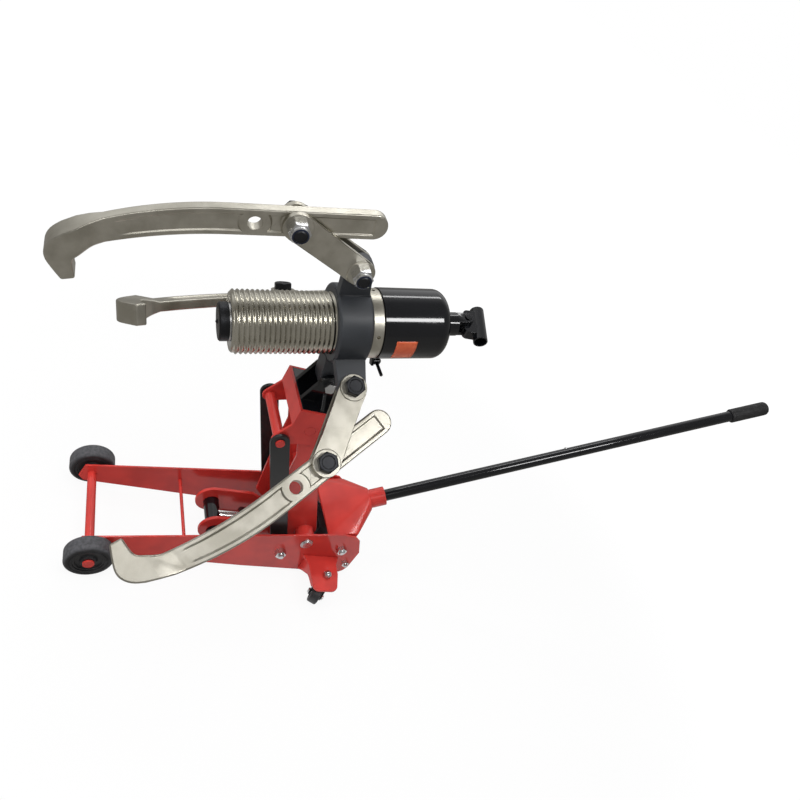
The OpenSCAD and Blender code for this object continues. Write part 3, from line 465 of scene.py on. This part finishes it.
# Cylinder. A hollow nickelled cylinder with a coarse thread for its whole length,
# screwed through the head, and a plain ring that locks it.
nickel = plated("nickel_plate", (0.39, 0.37, 0.31), (0.66, 0.635, 0.56), 0.40, 0.28, 0.02,
                soil_and_shade=(0.26, 0.24, 0.19))
# The thread's near black soil colour paints its roots dark: partly root soil, partly painted shade.
thread_plate = plated("thread_plate", (0.44, 0.42, 0.355), (0.64, 0.615, 0.535), 0.30, 0.22, 0.001,
                      soil_and_shade=(0.050, 0.046, 0.038))
puller = along("cylinder_turn")
root, flank, crest, pitch, lead_in = 58.8, 61.9, 62.2, 9.5, 6
thread_start, thread_end, thread_bore, thread_steps = -212.0, 78.3, 48.2, 144
tooth = [(0.05, root), (0.12, root + 0.2), (0.41, flank), (0.46, crest),
         (0.56, crest), (0.61, flank), (0.90, root + 0.2), (0.97, root)]
turns = range(-1, int((thread_end - thread_start) / pitch) + 1)


def thread_row(angle):
    """One line of points along the thread: every tooth, moved on by its share of the pitch."""
    line = []
    for turn in turns:
        for share, radius in tooth:
            station = thread_start + pitch * (turn + share + angle / (2 * pi))
            station = min(max(station, thread_start), thread_end)
            line.append((min(radius, crest - lead_in + station - thread_start), station))
    return line + [(thread_bore, thread_end), (thread_bore, thread_start)]


shell = bmesh.new()
rows = [[point_round(shell, r, angle, s) for r, s in thread_row(angle)]
        for angle in (2 * pi * k / thread_steps for k in range(thread_steps))]
# After a full turn the thread meets its first line again, one tooth further on.
first = rows[0]
rows.append(first[len(tooth):-2] + [first[-3]] * len(tooth) + first[-2:])
for here, there in zip(rows, rows[1:]):
    for i in range(len(here)):
        j = (i + 1) % len(here)
        corners = list(dict.fromkeys((here[i], here[j], there[j], there[i])))
        if len(corners) > 2:
            shell.faces.new(corners)
bmesh.ops.remove_doubles(shell, verts=shell.verts, dist=1e-7)
bmesh.ops.dissolve_degenerate(shell, edges=shell.edges, dist=1e-7)
bmesh.ops.recalc_face_normals(shell, faces=shell.faces)
thread = object_from("cylinder_thread", shell, thread_plate, puller)
thread.data.set_sharp_from_angle(angle=radians(50))
mounted(thread, "nickel", "threaded_cylinder")
dressed("gland_ring", ground, "ground_steel", 0.4)
dressed("lock_collar", nickel, "nickel", 0.6)

# Pump body and pump. A black enamelled reservoir with a rounded end and an orange film
# label, the pump neck behind it, the swinging socket for a loose lever, and a thin
# release lever.
dressed("cylinder_body", black_enamel, "black_paint", 0.8)
label_film, wire = blank("label_film")
fade = band(wire, speckle(wire, 16, 3.0), 0.3, 0.7)
settle(wire, {"Base Color": blended(wire, fade, (0.80, 0.125, 0.042), (0.92, 0.190, 0.070)),
              "Roughness": 0.30 + speckle(wire, 2) * 0.12})
film_radius, film_start, film_length, film_columns = 72.85, 105, 44, 8
film_low, film_sweep, film_rows = 172, 44, 12
shell = bmesh.new()
film = [[point_round(shell, film_radius, radians(film_low + film_sweep * k / film_rows),
                     film_start + film_length * i / film_columns) for i in range(film_columns + 1)]
        for k in range(film_rows + 1)]
for here, there in zip(film, film[1:]):
    for i in range(film_columns):
        shell.faces.new((here[i], there[i], there[i + 1], here[i + 1]))
bmesh.ops.recalc_face_normals(shell, faces=shell.faces)
patch = object_from("label_patch", shell, label_film, puller)
film_edge = patch.modifiers.new("film", "SOLIDIFY")
film_edge.thickness, film_edge.offset = 0.12 * mm, 0
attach(patch, "cylinder")
dressed("pump_neck", black_enamel, "black_paint", 0.8)
dressed("pump_socket", black_enamel, "black_paint", 0.8)
dressed("pump_plunger", ground, "ground_steel", 0.5)
dressed("release_lever", black_enamel, "black_paint", 0.6)

# Ram and nose. A ground ram inside the cylinder, with a black hardened cap that ends
# in a centre point.
black_oxide = plated("black_oxide", (0.030, 0.031, 0.034), (0.060, 0.061, 0.066), 0.50, 0.34)
dressed("puller_ram", ground, "ground_steel", 0.6)
dressed("ram_nose", black_oxide, "black_oxide", 0.6)

# Jaws. Three drop-forged nickelled jaws with sunk panels, each hung on two flat links
# by black bolts with lock nuts.
bar_half, wall_slope, nook_reach = 10.5 * mm, 2.8 * mm, 8.5 * mm
outer_round, panel_share, hole_share = 3.4, 0.32, 0.35
short_panel, long_panel = 1800 * mm ** 2, 4500 * mm ** 2
run_out = 1, 0.72, 0.36, 0


def hung(jaw):
    """The place of a jaw's links at the head, X toward the jaw's bolt, and how far apart the bolts are."""
    head_bolt, jaw_bolt = pivot(f"{jaw}_link_swing"), pivot(f"{jaw}_jaw_swing")
    bolt_line = -Vector(joints[f"{jaw}_link_swing"]["axis"])
    return axes_at(head_bolt, (jaw_bolt - head_bolt).normalized(), bolt_line), (jaw_bolt - head_bolt).length


def eased_outline(shell, broad):
    """Eases the bends of a jaw's outline, apart from the claw's tip, into arcs, and gives their points."""
    bends = [edge for edge in shell.edges if len(edge.link_faces) == 2 and edge.calc_length() > 15 * mm
             and abs((edge.verts[0].co - edge.verts[1].co).normalized().dot(broad)) > 0.99
             and radians(9) < edge.calc_face_angle() < radians(50)]
    arcs = bmesh.ops.bevel(shell, geom=bends, affect="EDGES", offset_type="PERCENT", offset=45,
                           segments=3, profile=0.5)
    return set(arcs["verts"])


def sloped_walls(shell, panels, crisp, middle, broad):
    """Slopes the walls of sunk panels, runs the long ones out at the claw, and gives their tight corners."""
    moves, nooks, ramps = {}, [], []
    for face in panels:
        ring = [loop.vert for loop in face.loops]
        if face.calc_area() > long_panel:
            spans = [(a.co + b.co - 2 * middle).length for a, b in zip(ring, ring[1:] + ring[:1])]
            last = spans.index(max(spans))
            depth = bar_half - abs((face.calc_center_median() - middle).dot(broad))
            for k, share in enumerate(run_out):
                pair = ring[last - k], ring[(last + 1 + k) % len(ring)]
                ramps.append((pair, face.normal * depth * share))
        for before, here, after in zip(ring[-1:] + ring[:-1], ring, ring[1:] + ring[:1]):
            one = face.normal.cross((here.co - before.co).normalized())
            two = face.normal.cross((after.co - here.co).normalized())
            moves[here] = (one + two) * wall_slope / max(1 + one.dot(two), 0.5)
            if one.dot(two) < -0.15 and here not in crisp:
                nooks.append(here.co.copy())
    for corner, move in moves.items():
        corner.co += move
    for pair, lift in ramps:
        bmesh.ops.connect_verts(shell, verts=pair)
        for corner in pair:
            corner.co += lift
    return nooks


def forged(node, way, finish, slot):
    """Makes a jaw as it leaves the dies: sloping panel walls, and outer edges rounder than the rest."""
    shell, broad, middle = whole(node), way.to_3x3() @ Vector((0, 1, 0)), way.to_translation()
    arcs = eased_outline(shell, broad)
    panels = [face for face in shell.faces if abs(face.normal.dot(broad)) > 0.99
              and abs((face.calc_center_median() - middle).dot(broad)) < bar_half - 1 * mm]
    floors = {corner for face in panels for corner in face.verts}
    crisp = {corner for face in panels if face.calc_area() < short_panel for corner in face.verts}
    nooks = sloped_walls(shell, panels, crisp, middle, broad)
    for edge in [edge for edge in shell.edges if edge.calc_length() > 2 * nook_reach]:
        for corner in edge.verts:
            if any((corner.co - nook).length < nook_reach for nook in nooks):
                bmesh.utils.edge_split(edge, corner, nook_reach / edge.calc_length())
                break
    weight = shell.edges.layers.float.new("bevel_weight_edge")
    for edge in shell.edges:
        if len(edge.link_faces) == 2 and edge.calc_face_angle(0) > radians(24):
            around = {corner for face in edge.link_faces for corner in face.verts}
            in_nook = any((corner.co - nook).length < nook_reach - 0.5 * mm
                          for corner in edge.verts for nook in nooks)
            in_hole = edge.calc_length() < 2.2 * mm and not arcs.issuperset(edge.verts)
            edge.smooth = not in_nook and around.isdisjoint(crisp)
            if not edge.smooth:
                edge[weight] = 0
            elif around & floors:
                edge[weight] = panel_share
            else:
                edge[weight] = hole_share if in_hole else 1.0
    piece = rounded(object_from(node + "_skin", shell, finish), outer_round)
    piece.modifiers["broken_edge"].limit_method = "WEIGHT"
    piece.modifiers["broken_edge"].segments = 3
    mounted(piece, slot, node)


nylon = moulded("nylon_ring", (0.006, 0.010, 0.030), (0.012, 0.020, 0.052), 0.35)
bolt_radius, bolt_flats, head_dish, plate_face = 12, 36, 1.6, 20.8
head_top, nut_top, bolt_end = plate_face + 15, plate_face + 18, plate_face + 26
cup_outline = [(radius, nut_top + rise) for radius, rise in (
    (12.1, -0.8), (16.5, -0.8), (16.5, 4), (15.9, 5.4), (14.9, 6), (14.6, 5.4), (12.1, 5.4))]
ring_outline = [(radius, nut_top + rise) for radius, rise in (
    (12.05, 5.1), (15.2, 5.1), (14.8, 5.9), (12.6, 6.5), (12.05, 6.5))]
for jaw, nut_turn in (("top", pi / 2), ("left", pi / 2), ("right", -pi / 2)):
    dressed(f"{jaw}_links", nickel, "nickel", 1.2)
    link, bolt_gap = hung(jaw)
    forged(f"{jaw}_jaw", link, nickel, "nickel")
    for end, at in (("head", 0), ("jaw", bolt_gap)):
        nut_way = link @ Matrix.Translation((at * mm, 0, 0)) @ Matrix.Rotation(nut_turn, 4, "Z")
        head_way = nut_way @ Matrix.Rotation(pi, 4, "Z")
        shank_outline = bar(bolt_radius, -plate_face, bolt_end, 2)
        shank = turned(f"{jaw}_{end}_bolt_shank", shank_outline, nut_way, black_oxide, 64)
        head = hexagon(f"{jaw}_{end}_bolt_head", bolt_flats, head_top, head_way, black_oxide,
                       head_dish, plate_face)
        nut = hexagon(f"{jaw}_{end}_nut", bolt_flats, nut_top, nut_way, zinc, 0, plate_face)
        cup = turned(f"{jaw}_{end}_nut_cup", cup_outline, nut_way, zinc, 64)
        ring = turned(f"{jaw}_{end}_nut_ring", ring_outline, nut_way, nylon, 64)
        for piece in (shank, head):
            mounted(piece, "black_oxide", f"{jaw}_bolts")
        for piece in (nut, cup, ring):
            mounted(piece, "zinc", f"{jaw}_nuts")

# Floor and light. A plain white floor in an even pale room. Windows and a strip stand
# where the polished pieces mirror them, and a broad ceiling and a fill light the rest.


def ray_kinds(wire):
    """Three wires: 1 for rays from the camera, for mirrored rays and for rays through clear pieces."""
    return [wire.make("LightPath", {}, {}, out=f"Is {kind} Ray")
            for kind in ("Camera", "Glossy", "Transmission")]


floor_half, floor_middle = 300, (0.6, 0, 0)
floor = bpy.data.objects.new("floor", bpy.data.meshes.new("floor"))
floor.data.from_pydata([(-floor_half, -floor_half, 0), (floor_half, -floor_half, 0),
                        (floor_half, floor_half, 0), (-floor_half, floor_half, 0)], [], [(0, 1, 2, 3)])
bpy.context.collection.objects.link(floor)
paper, wire = blank("paper")
seen, shine, clear = ray_kinds(wire)
lit = wire.make("BsdfDiffuse", {}, {"Color": (0.62, 0.62, 0.62, 1)})
white = wire.make("Emission", {}, {"Color": (1, 1, 1, 1), "Strength": 1.06})
spot = surface_point(wire)
far = wire.make("VectorMath", {"operation": "DISTANCE"}, {0: spot, 1: floor_middle}, out="Value")
share = (seen + clear) * (0.87 + 0.13 * band(wire, far, 0.9, 2.2))
plain = wire.make("MixShader", {}, {0: share, 1: lit, 2: white})
pale = wire.make("Emission", {}, {"Color": (1, 1, 1, 1), "Strength": 0.80})
grey = wire.make("Emission", {}, {"Color": (1, 0.97, 0.92, 1), "Strength": 0.31})
sheen = wire.make("MixShader", {}, {0: band(wire, far, 0.25, 0.55), 1: pale, 2: grey})
wire.make("OutputMaterial", {}, {"Surface": wire.make("MixShader", {}, {0: shine, 1: plain, 2: sheen})})
floor.data.materials.append(paper)

room = bpy.data.worlds.new("room")
bpy.context.scene.world = room
room.use_nodes = True
room.node_tree.nodes.clear()
wire = Wire(room.node_tree)
seen, shine, clear = ray_kinds(wire)
aim = wire.make("TexCoord", {}, {}, out="Generated")
height = wire.make("SeparateXYZ", {}, {0: aim}, out="Z")
away = wire.make("SeparateXYZ", {}, {0: aim}, out="Y")
even = wire.make("Background", {}, {"Color": (1, 1, 1, 1), "Strength": 0.30})
low = wire.make("Background", {}, {"Color": (1, 0.98, 0.95, 1), "Strength": 0.26})
high = wire.make("Background", {}, {"Color": (1, 1, 1, 1), "Strength": 0.95})
upper = band(wire, height, 0.03, 0.30) * band(wire, away, 0.2, 0.8)
glow = wire.make("MixShader", {}, {0: upper, 1: low, 2: high})
pure = wire.make("Background", {}, {"Color": (1, 1, 1, 1), "Strength": 1.0})
part = wire.make("MixShader", {}, {0: shine, 1: even, 2: glow})
wire.make("OutputWorld", {}, {"Surface": wire.make("MixShader", {}, {0: seen + clear, 1: part, 2: pure})})


def lamp(name, at, toward, size, power, mirrored=True, felt=True):
    """A soft rectangular lamp: mirrored by polished pieces, felt by dull ones, or both."""
    light = bpy.data.lights.new(name, "AREA")
    light.shape, light.size, light.size_y = "RECTANGLE", *size
    light.energy = power
    thing = bpy.data.objects.new(name, light)
    bpy.context.collection.objects.link(thing)
    thing.location = at
    thing.rotation_euler = (Vector(toward) - Vector(at)).to_track_quat("-Z", "Y").to_euler()
    thing.visible_glossy, thing.visible_diffuse = mirrored, felt


lamp("window", (0.95, -1.53, 2.73), (0.45, 0, 0.72), (0.80, 0.44), 21, felt=False)
lamp("side_window", (-0.75, -1.70, 2.50), (0.10, 0, 0.50), (1.1, 0.8), 5.4)
lamp("end_window", (-1.75, -1.05, 2.55), (-0.20, 0, 0.85), (0.7, 0.6), 5, felt=False)
lamp("far_strip", (0.60, 1.60, 2.70), (0.40, 0, 0.50), (1.6, 0.25), 9)
lamp("ceiling", (0.30, -0.20, 3.30), (0.30, -0.20, 0), (3.0, 2.6), 57, mirrored=False)
lamp("front_fill", (-2.40, -0.40, 1.60), (0.20, 0, 0.40), (1.5, 1.5), 30, mirrored=False)

bpy.context.scene.view_settings.view_transform = "Standard"
